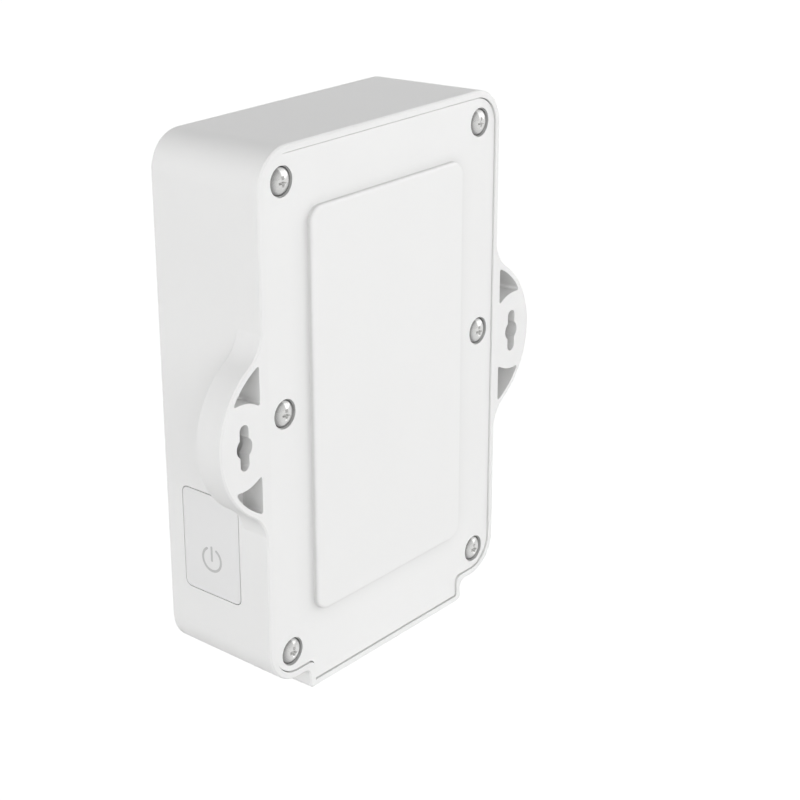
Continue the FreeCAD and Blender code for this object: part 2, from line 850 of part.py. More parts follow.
def add_ears(body):
    """Two ears, each with pockets beside a boss that holds a double-ended keyhole."""
    profile = ear_sketch(body)
    ear = pad(body, profile, S.ear_thickness - S.rim_edge, taper=-S.draft_angle)
    bevel = pad(body, profile, S.rim_edge, reverse=True, taper=-S.bevel_angle)
    hollow = pocket(body, ear_hollow_sketch(body), S.ear_pocket_depth)
    boss = pad(body, keyhole_boss_sketch(body), S.ear_pocket_depth)
    round_sketch = new_sketch(body, "keyhole_round")
    circle(round_sketch, KEYHOLE_X, ROW_HEIGHT, S.keyhole_radius)
    round_hole = pocket(body, round_sketch, S.keyhole_plate)
    slot_sketch = new_sketch(body, "keyhole_slot")
    slot(slot_sketch, KEYHOLE_X, ROW_HEIGHT, S.keyhole_slot_width, S.keyhole_length)
    slot_hole = pocket(body, slot_sketch, S.keyhole_plate)
    room_sketch = new_sketch(body, "screw_head_room", lift=S.keyhole_plate)
    slot(room_sketch, KEYHOLE_X, ROW_HEIGHT, S.head_room_width, S.head_room_length)
    room = pocket(body, room_sketch, S.head_room_depth)
    mirrored(body, [ear, bevel, hollow, boss, round_hole, slot_hole, room])
    depth = S.ear_pocket_depth.number
    clear_of_body = (HALF_BODY + S.ear_pocket_inset / 2).number
    clear_of_slot = (S.keyhole_length * 0.6).number
    row = ROW_HEIGHT.number

    def is_pocket_corner(edge):
        box = edge.BoundBox
        upright = box.XLength < 0.01 and box.ZLength < 0.01 and abs(box.YLength - depth) < 0.01
        return upright and abs(box.XMin) > clear_of_body and abs(box.ZMin - row) > clear_of_slot

    fillet(body, S.ear_pocket_corner, is_pocket_corner)


def add_housing_shell(body):
    """Drafted box with the tab, before it is hollowed."""
    shell = new_sketch(body, "shell")
    rectangle(shell, ZERO, BODY_FOOT + S.body_height / 2, S.body_width, S.body_height, S.corner_radius)
    pad(body, shell, S.housing_depth, taper=-S.draft_angle)
    tab = new_sketch(body, "tab")
    buried = BODY_FOOT + S.corner_radius
    half = TAB_WIDTH / 2
    tip = S.tab_corner_radius
    outline(tab, [(-half, ZERO, tip), (half, ZERO, tip), (half, buried, None), (-half, buried, None)])
    pad(body, tab, S.housing_depth)
    half_tab = TAB_WIDTH.number / 2
    foot = BODY_FOOT.number

    def is_notch(edge):
        box = edge.BoundBox
        beside_tab = abs(abs(box.Center.x) - half_tab) < 0.01 and box.XLength < 0.01
        return beside_tab and foot - 0.01 < box.ZMin and box.ZMax < foot + 1 and box.YLength > 1

    fillet(body, S.tab_notch_radius, is_notch)


def round_outside(body):
    """Bevel the edge of the rear rim and round the edge of the front face."""
    front = -S.housing_depth.number
    chamfer(body, S.rim_edge, lambda edge: lies_at(edge, "Y", 0.0))
    fillet(body, S.front_edge_radius, lambda edge: lies_at(edge, "Y", front))


def hollow_housing(body):
    """Recess for the cover, seat for the gasket, compartment and sensor chamber."""
    recess = new_sketch(body, "cover_recess")
    tabbed_outline(recess, S.rim_width)
    pocket(body, recess, LEDGE_DEPTH)
    gasket_seat = new_sketch(body, "gasket_seat")
    cavity_outline(gasket_seat, S.gasket_width)
    pocket(body, gasket_seat, LEDGE_DEPTH + S.gasket_thickness)
    compartment = new_sketch(body, "compartment")
    cavity_outline(compartment, ZERO)
    pocket(body, compartment, INNER_FRONT_DEPTH)
    chamber = new_sketch(body, "chamber")
    middle_z = S.tab_floor + S.chamber_height / 2
    rectangle(chamber, ZERO, middle_z, CHAMBER_WIDTH, S.chamber_height, S.chamber_corner_radius)
    pocket(body, chamber, INNER_FRONT_DEPTH)


def drill_bosses(body):
    """Collar seats and pilot holes for the cover screws."""
    collar_seats = new_sketch(body, "collar_seats")
    screw_circles(collar_seats, S.collar_radius + S.collar_gap)
    pocket(body, collar_seats, LEDGE_DEPTH + S.collar_height)
    pilots = new_sketch(body, "pilot_holes")
    screw_circles(pilots, S.screw_shank_radius + S.pilot_gap)
    head_seat = S.cover_recess + S.counterbore_depth
    pocket(body, pilots, head_seat + S.screw_shank_length + S.pilot_spare_depth)


def open_button_side(body):
    """Opening for the power button between two guide ribs."""
    opening = new_sketch(body, "button_opening", "YZ_Plane", HALF_CAVITY - S.wall)
    width = S.button_width + S.button_gap * 2
    height = S.button_height + S.button_gap * 2
    corner = S.button_corner_radius + S.button_gap
    rectangle(opening, -BUTTON_DEPTH, BUTTON_Z, width, height, corner)
    pocket(body, opening, S.wall * 2 + S.ear_reach)
    ribs = new_sketch(body, "guide_ribs")
    rib_width = HALF_CAVITY - SEAL_BACK_X + S.wall / 2
    rib_x = SEAL_BACK_X + rib_width / 2
    for side in (-1, 1):
        rib_z = BUTTON_Z + (GUIDE_HALF + S.guide_rib / 2) * side
        rectangle(ribs, rib_x, rib_z, rib_width, S.guide_rib)
    ribs.setExpression("AttachmentOffset.Base.z", GUIDE_START_DEPTH.text)
    pad(body, ribs, INNER_FRONT_DEPTH + S.front_wall / 2 - GUIDE_START_DEPTH)


def add_posts(body):
    """Posts for the main board, with pilot holes."""
    posts = new_sketch(body, "posts", lift=BOARD_FRONT_DEPTH)
    for x, z in post_places():
        circle(posts, x, z, S.post_radius)
    pad(body, posts, S.post_height + S.front_wall / 2)
    holes = new_sketch(body, "post_holes", lift=BOARD_FRONT_DEPTH)
    for x, z in post_places():
        circle(holes, x, z, S.board_screw_radius + S.pilot_gap)
    pocket(body, holes, S.post_height)


def add_sensor_features(body):
    """Vent slots, ribs under the sensor board and the way through for the leads."""
    vents = new_sketch(body, "vents", "XY_Plane")
    first = -(S.vent_count - 1) * S.vent_pitch / 2
    slot(vents, first, -SENSOR_DEPTH, S.vent_width, S.vent_length)
    first_vent = pocket(body, vents, S.tab_floor)
    pattern = body.newObject("PartDesign::LinearPattern", "vent_row")
    pattern.Originals = [first_vent]
    pattern.Direction = (origin_feature(body, "X_Axis"), [""])
    pattern.setExpression("Length", ((S.vent_count - 1) * S.vent_pitch).text)
    pattern.setExpression("Occurrences", S.vent_count.text)
    body.Tip = pattern
    ribs = new_sketch(body, "sensor_ribs", "XY_Plane", S.tab_floor - S.tab_floor / 4)
    for side in (-1, 1):
        rectangle(ribs, SENSOR_RIB_SPACING / 2 * side, -SENSOR_DEPTH, S.sensor_rib, S.sensor_board_depth)
    pad(body, ribs, S.sensor_rib_height + S.tab_floor / 4)
    way = new_sketch(body, "lead_way", "XY_Plane", CHAMBER_TOP)
    rectangle(way, ZERO, -LEAD_DEPTH, S.lead_seal_width, S.lead_seal_depth, S.lead_seal_depth / 3)
    pocket(body, way, S.partition)


def open_light_hole(body):
    """Hole for the light pipe through the front wall."""
    hole = new_sketch(body, "light_hole", lift=INNER_FRONT_DEPTH)
    circle(hole, ZERO, LIGHT_Z, S.pipe_radius + S.pipe_gap)
    pocket(body, hole, S.front_wall)


def front_housing():
    body = new_body("front_housing")
    add_housing_shell(body)
    round_outside(body)
    add_ears(body)
    hollow_housing(body)
    drill_bosses(body)
    open_button_side(body)
    add_posts(body)
    add_sensor_features(body)
    open_light_hole(body)
    return seat(body)


# Rear cover and its fasteners

def rear_cover():
    """Inset plate with its raised panel, hollow behind, and a collar under each screw."""
    body = new_body("rear_cover")
    plate = new_sketch(body, "plate")
    tabbed_outline(plate, S.rim_width + S.cover_gap)
    pad(body, plate, S.cover_thickness)
    panel = new_sketch(body, "panel")
    rectangle(panel, ZERO, ROW_HEIGHT, PANEL_WIDTH, PANEL_HEIGHT, S.panel_corner_radius)
    pad(body, panel, S.panel_rise, reverse=True)
    top = S.panel_rise.number
    fillet(body, S.panel_edge_radius, lambda edge: lies_at(edge, "Y", top))
    collars = new_sketch(body, "collars", lift=S.cover_thickness)
    screw_circles(collars, S.collar_radius)
    pad(body, collars, S.collar_height)
    hollow = new_sketch(body, "panel_hollow", lift=S.cover_thickness)
    width = PANEL_WIDTH - S.panel_border * 2
    height = PANEL_HEIGHT - S.panel_border * 2
    corner = S.panel_corner_radius - S.panel_border / 2
    rectangle(hollow, ZERO, ROW_HEIGHT, width, height, corner)
    pocket(body, hollow, S.panel_rise, along_normal=False)
    heads = new_sketch(body, "counterbores")
    screw_circles(heads, S.counterbore_radius)
    pocket(body, heads, S.counterbore_depth)
    holes = new_sketch(body, "screw_holes")
    screw_circles(holes, S.screw_shank_radius + S.screw_clearance)
    pocket(body, holes, S.cover_thickness + S.collar_height)
    return seat(body, depth=S.cover_recess)


def cover_gasket():
    """Perimeter seal that passes inboard of every screw boss."""
    body = new_body("cover_gasket")
    ring = new_sketch(body, "ring")
    cavity_outline(ring, S.gasket_width)
    pad(body, ring, S.gasket_thickness)
    opening = new_sketch(body, "ring_opening")
    cavity_outline(opening, ZERO)
    pocket(body, opening, S.gasket_thickness)
    return seat(body, depth=LEDGE_DEPTH)


def pan_head_screw(name, head_radius, head_height, crown, shank_radius, length):
    """Screw on its own axis along Y: the head's seat at the origin, the tip to the front."""
    body = new_body(name)
    sketch = new_sketch(body, f"{name}_profile", "XY_Plane")
    outline(sketch, [
        (ZERO, -length, None),
        (shank_radius, -length, None),
        (shank_radius, ZERO, None),
        (head_radius, ZERO, None),
        (head_radius, head_height, None),
        (ZERO, head_height, None),
    ])
    feature = body.newObject("PartDesign::Revolution", f"{name}_turned")
    feature.Profile = sketch
    feature.ReferenceAxis = (sketch, ["V_Axis"])
    feature.Angle = 360
    sketch.Visibility = False
    top = head_height.number
    chamfer(body, crown, lambda edge: lies_at(edge, "Y", top))
    return body


def cover_screws():
    """Six pan-head screws in the cover's counterbores."""
    screws = []
    for x, z in SCREW_PLACES:
        for side in (-1, 1):
            screw = pan_head_screw(
                f"cover_screw_{len(screws) + 1}", S.screw_head_radius, S.screw_head_height,
                S.screw_crown, S.screw_shank_radius, S.screw_shank_length)
            screws.append(seat(screw, x * side, S.cover_recess + S.counterbore_depth, z))
    return group("cover_screws", screws)


# Power button, its seal and the switch

def power_button():
    """Key with a drafted face, a flange behind the wall and a round stem."""
    body = new_body("power_button")
    face = new_sketch(body, "key", "YZ_Plane", FLANGE_FACE_X)
    rectangle(face, ZERO, ZERO, S.button_width, S.button_height, S.button_corner_radius)
    pad(body, face, HALF_BODY - FLANGE_FACE_X)
    slope = tangent(S.draft_angle)
    trim = new_sketch(body, "face_trim", "XY_Plane", -S.button_height)
    rear_y = S.button_width
    front_y = -S.button_width
    rear_x = HALF_BODY - slope * (BUTTON_DEPTH - rear_y)
    front_x = HALF_BODY - slope * (BUTTON_DEPTH - front_y)
    wedge_outline(trim, rear_x, rear_y, front_x, front_y, HALF_BODY + S.wall)
    pocket(body, trim, S.button_height * 2)
    flange = new_sketch(body, "flange", "YZ_Plane", FLANGE_BACK_X)
    width = S.button_width + S.button_flange * 2
    height = S.button_height + S.button_flange * 2
    rectangle(flange, ZERO, ZERO, width, height, S.button_corner_radius)
    pad(body, flange, S.button_flange_thickness)
    stem = new_sketch(body, "stem", "YZ_Plane", PLUNGER_TIP_X + S.button_stem_gap)
    circle(stem, ZERO, ZERO, S.button_stem_radius)
    pad(body, stem, FLANGE_BACK_X - PLUNGER_TIP_X - S.button_stem_gap)
    return seat(body, depth=BUTTON_DEPTH, z=BUTTON_Z)


def wedge_outline(sketch, rear_x, rear_y, front_x, front_y, outer_x):
    """Four-sided loop outside a slanting line, used to cut a drafted face."""
    points = [
        (rear_x, rear_y),
        (front_x, front_y),
        (outer_x, front_y),
        (outer_x, rear_y),
    ]
    shapes = []
    rules = []
    count = len(points)
    for line, (x, y) in enumerate(points):
        following = (line + 1) % count
        next_x, next_y = points[following]
        shapes.append(Part.LineSegment(vector(x, y), vector(next_x, next_y)))
        rules.append(rule("Coincident", line, 2, following, 1))
        rules.append(distance("X", line, 1, x))
        rules.append(distance("Y", line, 1, y))
    sketch.addGeometry(shapes)
    apply(sketch, rules)


def button_seal():
    """Soft plug between the guide ribs, with a bore that wipes the button's stem."""
    body = new_body("button_seal")
    plug = new_sketch(body, "plug", "YZ_Plane", SEAL_BACK_X)
    rectangle(plug, ZERO, ZERO, S.seal_width, GUIDE_HALF * 2, S.seal_corner_radius)
    circle(plug, ZERO, ZERO, S.button_stem_radius + S.button_stem_gap)
    pad(body, plug, S.seal_thickness)
    return seat(body, depth=BUTTON_DEPTH, z=BUTTON_Z)


def tactile_switch():
    """Switch housing at the board's edge, with a blind bore for its plunger."""
    body = new_body("tactile_switch")
    case = new_sketch(body, "case", "YZ_Plane", SWITCH_FACE_X - S.switch_depth)
    middle = BOARD_REAR_DEPTH - S.switch_rise / 2
    rectangle(case, -middle, BUTTON_Z, S.switch_rise, S.switch_width)
    pad(body, case, S.switch_depth)
    edge_length = S.switch_depth.number
    fillet(body, S.plunger_gap * 6, lambda edge: edge.BoundBox.XLength > edge_length - 0.01)
    bore = new_sketch(body, "bore", "YZ_Plane", SWITCH_FACE_X)
    axis_depth = BOARD_REAR_DEPTH - S.switch_axis_rise
    circle(bore, -axis_depth, BUTTON_Z, S.plunger_radius + S.plunger_gap)
    pocket(body, bore, S.plunger_root + S.button_travel + S.plunger_gap, along_normal=False)
    return seat(body)


def switch_plunger():
    """Round plunger that stands out of the switch towards the button."""
    body = new_body("switch_plunger")
    pin = new_sketch(body, "pin", "YZ_Plane", SWITCH_FACE_X - S.plunger_root)
    circle(pin, -(BOARD_REAR_DEPTH - S.switch_axis_rise), BUTTON_Z, S.plunger_radius)
    pad(body, pin, S.plunger_root + S.plunger_reach)
    return seat(body)


# Main board and what it carries

def main_board():
    body = new_body("main_board")
    plate = new_sketch(body, "board")
    rectangle(plate, ZERO, BOARD_MIDDLE_Z, BOARD_WIDTH, BOARD_HEIGHT, S.board_corner_radius)
    for x, z in post_places():
        circle(plate, x, z, S.board_hole_radius)
    pad(body, plate, S.board_thickness)
    return seat(body, depth=BOARD_REAR_DEPTH)


def board_screws():
    """Four screws that hold the main board to its posts."""
    screws = []
    for x, z in post_places():
        screw = pan_head_screw(
            f"board_screw_{len(screws) + 1}", S.board_screw_head_radius, S.board_screw_head_height,
            S.board_screw_head_height / 2, S.board_screw_radius, S.board_screw_length)
        screws.append(seat(screw, x, BOARD_REAR_DEPTH, z))
    return group("board_screws", screws)


def radio_module():
    """Small board with a shield can over the radio."""
    body = new_body("radio_module")
    plate = new_sketch(body, "module_board")
    rectangle(plate, ZERO, ZERO, S.module_size, S.module_size)
    pad(body, plate, S.module_board, reverse=True)
    can = new_sketch(body, "shield_can", lift=-S.module_board)
    size = S.module_size - S.module_can_inset * 2
    rectangle(can, ZERO, ZERO, size, size, S.module_corner_radius)
    pad(body, can, S.module_can_height, reverse=True)
    top = (S.module_board + S.module_can_height).number
    chamfer(body, S.module_can_edge, lambda edge: lies_at(edge, "Y", top))
    return seat(body, MODULE_X, BOARD_REAR_DEPTH, MODULE_Z)


def microcontroller():
    """Square flat chip with a bevelled top edge."""
    body = new_body("microcontroller")
    plate = new_sketch(body, "chip")
    rectangle(plate, ZERO, ZERO, S.chip_size, S.chip_size)
    pad(body, plate, S.chip_thickness, reverse=True)
    top = S.chip_thickness.number
    chamfer(body, S.chip_bevel, lambda edge: lies_at(edge, "Y", top))
    return seat(body, S.chip_x, BOARD_REAR_DEPTH, CHIP_Z)


def antenna():
    """Folded strip above the board on a short leg and a feed leg."""
    body = new_body("antenna")
    fold = new_sketch(body, "fold", "XY_Plane")
    left = -S.antenna_width / 2
    right = S.antenna_width / 2
    metal = S.antenna_metal
    feed = left + S.antenna_leg_pitch
    under = S.antenna_rise - metal
    outline(fold, [
        (left, ZERO, None),
        (left + metal, ZERO, None),
        (left + metal, under, None),
        (feed, under, None),
        (feed, ZERO, None),
        (feed + metal, ZERO, None),
        (feed + metal, under, None),
        (right, under, None),
        (right, S.antenna_rise, None),
        (left, S.antenna_rise, None),
    ])
    pad(body, fold, S.antenna_height)
    return seat(body, ZERO, BOARD_REAR_DEPTH, ANTENNA_FOOT_Z)


def setup_coil():
    """Flat near-field loop on a thin film behind the front wall."""
    body = new_body("setup_coil")
    loop = new_sketch(body, "loop")
    track = S.coil_track
    rectangle(loop, ZERO, ZERO, S.coil_width, S.coil_height, S.coil_corner_radius)
    rectangle(loop, ZERO, ZERO, S.coil_width - track * 2, S.coil_height - track * 2, S.coil_corner_radius / 2)
    pad(body, loop, S.coil_thickness)
    return seat(body, ZERO, INNER_FRONT_DEPTH - S.coil_thickness, COIL_Z)


def status_led():
    """Chip LED on the front side of the main board."""
    body = new_body("status_led")
    chip = new_sketch(body, "led")
    rectangle(chip, ZERO, ZERO, S.led_width, S.led_height)
    pad(body, chip, S.led_thickness)
    return seat(body, ZERO, BOARD_FRONT_DEPTH, LIGHT_Z)


def light_pipe():
    """Clear stepped plug that carries the light to the front face."""
    body = new_body("light_pipe")
    sketch = new_sketch(body, "pipe", "XY_Plane")
    nose = S.post_height - S.led_thickness - S.pipe_led_gap
    outline(sketch, [
        (ZERO, -S.front_wall, None),
        (S.pipe_radius, -S.front_wall, None),
        (S.pipe_radius, ZERO, None),
        (S.pipe_flange_radius, ZERO, None),
        (S.pipe_flange_radius, S.pipe_flange_thickness, None),
        (S.pipe_radius, S.pipe_flange_thickness, None),
        (S.pipe_radius, nose, None),
        (ZERO, nose, None),
    ])
    turned = body.newObject("PartDesign::Revolution", "pipe_turned")
    turned.Profile = sketch
    turned.ReferenceAxis = (sketch, ["V_Axis"])
    turned.Angle = 360
    sketch.Visibility = False
    return seat(body, ZERO, INNER_FRONT_DEPTH, LIGHT_Z)


# Batteries

def battery(name, side):
    """Cylindrical cell with its terminal nub; the two cells point opposite ways."""
    nub_top = CELL_LENGTH / 2 + S.cell_nub_height
    body = revolved(name, [
        (ZERO, -CELL_LENGTH / 2, None),
        (CELL_RADIUS, -CELL_LENGTH / 2, None),
        (CELL_RADIUS, CELL_LENGTH / 2, None),
        (S.cell_nub_radius, CELL_LENGTH / 2, None),
        (S.cell_nub_radius, nub_top, None),
        (ZERO, nub_top, None),
    ])
    rim = CELL_RADIUS.number
    chamfer(body, S.cell_edge, lambda edge: edge.BoundBox.ZLength < 0.01 and edge.BoundBox.XMax > rim - 0.01)
    seat(body, CELL_PITCH / 2 * side, CELL_DEPTH, CELL_MIDDLE_Z + CELL_SHIFT * side)
    if side < 0:
        body.Placement.Rotation = FreeCAD.Rotation(FreeCAD.Vector(0, 1, 0), 180)
    return body


def battery_holder():
    """Tray with a base, side walls, a divider and two taller end walls."""
    body = new_body("battery_holder")
    width = CELL_PITCH + CELL_RADIUS * 2 + (S.cell_gap + S.holder_wall) * 2
    base = new_sketch(body, "base")
    rectangle(base, ZERO, ZERO, width, HOLDER_LENGTH)
    pad(body, base, S.holder_base, reverse=True)
    sides = new_sketch(body, "sides", lift=-S.holder_base / 2)
    inner_length = HOLDER_LENGTH - S.holder_end_wall
    for side in (-1, 1):
        rectangle(sides, (width - S.holder_wall) / 2 * side, ZERO, S.holder_wall, inner_length)
    pad(body, sides, S.holder_side_height + S.holder_base / 2, reverse=True)
    ends = new_sketch(body, "ends", lift=-S.holder_base / 2)
    for side in (-1, 1):
        rectangle(ends, ZERO, (HOLDER_LENGTH - S.holder_end_wall) / 2 * side, width, S.holder_end_wall)
    pad(body, ends, S.holder_end_height + S.holder_base / 2, reverse=True)
    return seat(body, ZERO, BOARD_REAR_DEPTH, CELL_MIDDLE_Z)


def contact_strip(name, x, end, bowed):
    """Strip against an end wall: flat for a nub, bowed towards the cell's flat end."""
    body = new_body(name)
    side = new_sketch(body, f"{name}_side", "YZ_Plane", -S.contact_width / 2)
    metal = S.contact_thickness
    foot = S.holder_base
    head = foot + S.contact_height
    wall = (HOLDER_LENGTH / 2 - S.holder_end_wall) * end
    inner = wall - metal * end
    if bowed:
        touch = wall - (S.contact_bow + metal) * end
        tongue = touch + metal * end
        middle = foot + S.contact_height / 2
        corners = [
            (foot, wall, None),
            (foot, inner, None),
            (head - metal, inner, None),
            (head - metal, tongue, None),
            (middle, tongue, None),
            (middle, touch, None),
            (head, touch, None),
            (head, wall, None),
        ]
    else:
        corners = [
            (foot, wall, None),
            (foot, inner, None),
            (head, inner, None),
            (head, wall, None),
        ]
    outline(side, corners)
    pad(body, side, S.contact_width)
    return seat(body, x, BOARD_REAR_DEPTH, CELL_MIDDLE_Z)


def battery_contacts():
    """A bowed and a flat strip for each cell."""
    strips = []
    for side in (-1, 1):
        x = CELL_PITCH / 2 * side
        strips.append(contact_strip(f"bowed_contact_{len(strips) + 1}", x, -side, True))
        strips.append(contact_strip(f"flat_contact_{len(strips) + 1}", x, side, False))
    return group("battery_contacts", strips)


def battery_pad():
    """Foam pad on the inside of the cover that holds the cells down."""
    body = new_body("battery_pad")
    sketch = new_sketch(body, "foam")
    rectangle(sketch, ZERO, ZERO, S.pad_width, S.pad_height, S.pad_corner_radius)
    pad(body, sketch, S.pad_thickness)
    return seat(body, ZERO, HOLLOW_DEPTH, CELL_MIDDLE_Z)


# Sensor board, chip, membrane and leads

def sensor_board():
    body = block("sensor_board", SENSOR_BOARD_WIDTH, S.sensor_board_depth, S.sensor_board_thickness)
    return seat(body, ZERO, SENSOR_DEPTH, SENSOR_BOARD_Z)


def humidity_sensor():
    """Sensor chip under its board, with the sensing port in its lower face."""
    body = block("humidity_sensor", S.sensor_size, S.sensor_size, S.sensor_thickness)
    port = new_sketch(body, "port", "XY_Plane")
    circle(port, ZERO, ZERO, S.sensor_size / 5)
    pocket(body, port, S.sensor_thickness / 3)
    return seat(body, ZERO, SENSOR_DEPTH, SENSOR_BOARD_Z - S.sensor_thickness)


def vent_membrane():
    """Breathable film over the vent slots."""
    body = block("vent_membrane", S.membrane_width, S.membrane_depth, S.membrane_thickness,
                 S.membrane_corner_radius)
    return seat(body, ZERO, SENSOR_DEPTH, S.tab_floor)


def sensor_leads():
    """Straight pins from the sensor board to the main board's connector."""
    pins = []
    for x in lead_places():
        pin = new_body(f"sensor_lead_{len(pins) + 1}")
        sketch = new_sketch(pin, f"lead_{len(pins) + 1}", "XY_Plane")
        circle(sketch, ZERO, ZERO, S.lead_radius)
        pad(pin, sketch, CONNECTOR_Z + S.lead_engagement - LEAD_FOOT_Z)
        pins.append(seat(pin, x, LEAD_DEPTH, LEAD_FOOT_Z))
    return group("sensor_leads", pins)


def lead_seal():
    """Soft plug in the partition round the leads, with a lip on the sealed side."""
    body = new_body("lead_seal")
    plug = new_sketch(body, "seal_plug", "XY_Plane")
    rectangle(plug, ZERO, ZERO, S.lead_seal_width, S.lead_seal_depth, S.lead_seal_depth / 3)
    pad(body, plug, S.partition)
    lip = new_sketch(body, "seal_lip", "XY_Plane", S.partition)
    width = S.lead_seal_width + S.lead_seal_lip * 2
    depth = S.lead_seal_depth + S.lead_seal_lip * 2
    rectangle(lip, ZERO, ZERO, width, depth, S.lead_seal_depth / 3)
    pad(body, lip, S.lead_seal_lip_thickness)
    bores = new_sketch(body, "lead_bores", "XY_Plane")
    for x in lead_places():
        circle(bores, x, ZERO, S.lead_radius + S.lead_gap)
    pocket(body, bores, S.partition + S.lead_seal_lip_thickness)
    return seat(body, ZERO, LEAD_DEPTH, CHAMBER_TOP)


def lead_connector():
    """Socket on the main board that takes the sensor leads."""
    body = new_body("lead_connector")
    case = new_sketch(body, "socket", "XY_Plane")
    rectangle(case, ZERO, S.connector_rise / 2, S.connector_width, S.connector_rise)
    pad(body, case, S.connector_height)
    bores = new_sketch(body, "socket_bores", "XY_Plane")
    for x in lead_places():
        circle(bores, x, BOARD_REAR_DEPTH - LEAD_DEPTH, S.lead_radius + S.lead_gap)
    pocket(body, bores, S.lead_engagement)
    return seat(body, ZERO, BOARD_REAR_DEPTH, CONNECTOR_Z)


def build_parts():
    """Every node of the sensor."""
    return [
        front_housing(),
        rear_cover(),
        cover_gasket(),
        cover_screws(),
        power_button(),
        button_seal(),
        tactile_switch(),
        switch_plunger(),
        main_board(),
        board_screws(),
        radio_module(),
        microcontroller(),
        antenna(),
        setup_coil(),
        status_led(),
        light_pipe(),
        battery_holder(),
        battery("battery_left", -1),
        battery("battery_right", 1),
        battery_contacts(),
        battery_pad(),
        sensor_board(),
        humidity_sensor(),
        vent_membrane(),
        sensor_leads(),
        lead_seal(),
        lead_connector(),
    ]


def check_document(parts):
    """Stop if any object failed or any part has no sound shape."""
    for item in doc.Objects:
        if "Invalid" in item.State or "Error" in item.State:
            raise ValueError(f"{item.Name} failed: {item.State}")
    for part in parts:
        if part.Shape.isNull() or not part.Shape.isValid():
            raise ValueError(f"{part.Label} has no sound shape")


def export(parts):
    """Write one STEP file for each node."""
    os.makedirs("parts", exist_ok=True)
    for part in parts:
        part.Shape.exportStep(f"parts/{part.Label}.step")
        box = part.Shape.BoundBox
        print(f"{part.Label}: {len(part.Shape.Solids)} solid(s), {part.Shape.Volume:.1f} mm3, "
              f"x {box.XMin:.2f} {box.XMax:.2f}, y {box.YMin:.2f} {box.YMax:.2f}, z {box.ZMin:.2f} {box.ZMax:.2f}")


fill_sheet()
all_parts = build_parts()
doc.recompute()
check_document(all_parts)
export(all_parts)
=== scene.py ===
"""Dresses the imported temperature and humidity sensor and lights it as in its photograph.

Places are in metres in the CAD's frame: +Y out of the rear cover, +X the side with the power
button, +Z up, from the middle of the width and depth at the foot of the lower tab. Angles are
in degrees.
"""
import json
import math

import bmesh
import bpy
from mathutils import Matrix, Vector


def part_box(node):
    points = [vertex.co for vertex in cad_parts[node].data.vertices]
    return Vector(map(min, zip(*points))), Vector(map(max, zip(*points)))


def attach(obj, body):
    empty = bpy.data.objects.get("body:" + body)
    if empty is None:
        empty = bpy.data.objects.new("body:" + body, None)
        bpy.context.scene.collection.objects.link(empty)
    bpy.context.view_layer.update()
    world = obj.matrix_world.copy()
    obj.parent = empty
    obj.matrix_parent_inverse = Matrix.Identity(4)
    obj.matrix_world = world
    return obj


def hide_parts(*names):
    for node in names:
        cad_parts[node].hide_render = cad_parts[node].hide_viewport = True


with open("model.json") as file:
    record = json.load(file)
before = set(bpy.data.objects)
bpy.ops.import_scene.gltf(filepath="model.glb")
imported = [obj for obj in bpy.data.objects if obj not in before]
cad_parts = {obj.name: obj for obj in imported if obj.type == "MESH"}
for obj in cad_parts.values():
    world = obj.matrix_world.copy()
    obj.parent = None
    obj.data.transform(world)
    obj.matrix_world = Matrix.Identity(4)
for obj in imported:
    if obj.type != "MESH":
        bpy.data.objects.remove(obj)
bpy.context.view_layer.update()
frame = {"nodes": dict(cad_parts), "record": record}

MM = 0.001

# Camera, solved from the photograph; its lens length and centre are in pixels
CAMERA_PLACE = Vector((255.9, 221.5, 182.8)) * MM
CAMERA_YAW = 49.80
CAMERA_PITCH = 21.47
CAMERA_ROLL = 0.52
IMAGE_SIZE = 800
LENS_PIXELS = 1843.8
PRINCIPAL_POINT = (357.7, 399.4)
SENSOR_WIDTH = 36.0

# World light: its level at the horizon and how steeply it falls towards the zenith
HORIZON_LEVEL = 2.74
ZENITH_FALL = 1.9

# Lamps: a level of 1 lights a facing white surface to white
LAMP_TARGET = Vector((0, 0, 0.055))
LAMPS = {
    "key_light": {"direction": (-0.86, 0.44, 0.32), "distance": 1.4, "size": 1.2, "level": 0.24},
    "fill_light": {"direction": (0.76, 0.64, 0.22), "distance": 1.6, "size": 1.6, "level": 0.23},
}

# Floor: its own grey, and the glow that lifts it to white where it is the background
FLOOR_HALF_WIDTH = 6.0
FLOOR_GREY = 0.60
FLOOR_GLOW = 0.70

# Painted shade in pockets, which darkens the colour: how far a surface looks for its own walls, and how
# much it darkens
HOUSING_PAINTED_SHADE_REACH = 12.0 * MM
HOUSING_PAINTED_SHADE_DEPTH = 0.20
COVER_PAINTED_SHADE_REACH = 5.0 * MM
COVER_PAINTED_SHADE_DEPTH = 0.62
# Seams narrower than this get no painted shade and keep only the shade that they have by themselves
SEAM_REACH = 0.8 * MM

# Painted shade on the screws' flanks, which darkens their colour where the counterbore stands close
PAINTED_FLANK_SHADE_REACH = 3.5 * MM
PAINTED_FLANK_SHADE_DEPTH = 4.5
PAINTED_FLANK_SHADE_DARKEST = 0.40

# Scratches in metal: cells in a metre along each axis, and their relief
BRUSH_CELLS = (900.0, 900.0, 12000.0)
BRUSH_RELIEF = 0.000004

# Cover screws: the seat is found from the top of the CAD's heads, which stand higher than the dome
CAD_HEAD_HEIGHT = 1.6 * MM
SCREW_CORNER_X = 28.6 * MM
SCREW_MIDDLE_Z = 58.9 * MM
SCREW_TURNS = (2.0, -3.0, 4.0, 0.0, -2.0, 3.0)
SCREW_TONE = 0.80
SCREW_HEAD_RADIUS = 2.65 * MM
SCREW_SIDE_HEIGHT = 0.25 * MM
CROWN_HEIGHT = 1.15 * MM
HEAD_SEGMENTS = 64
SHARP_TURN = 32.0

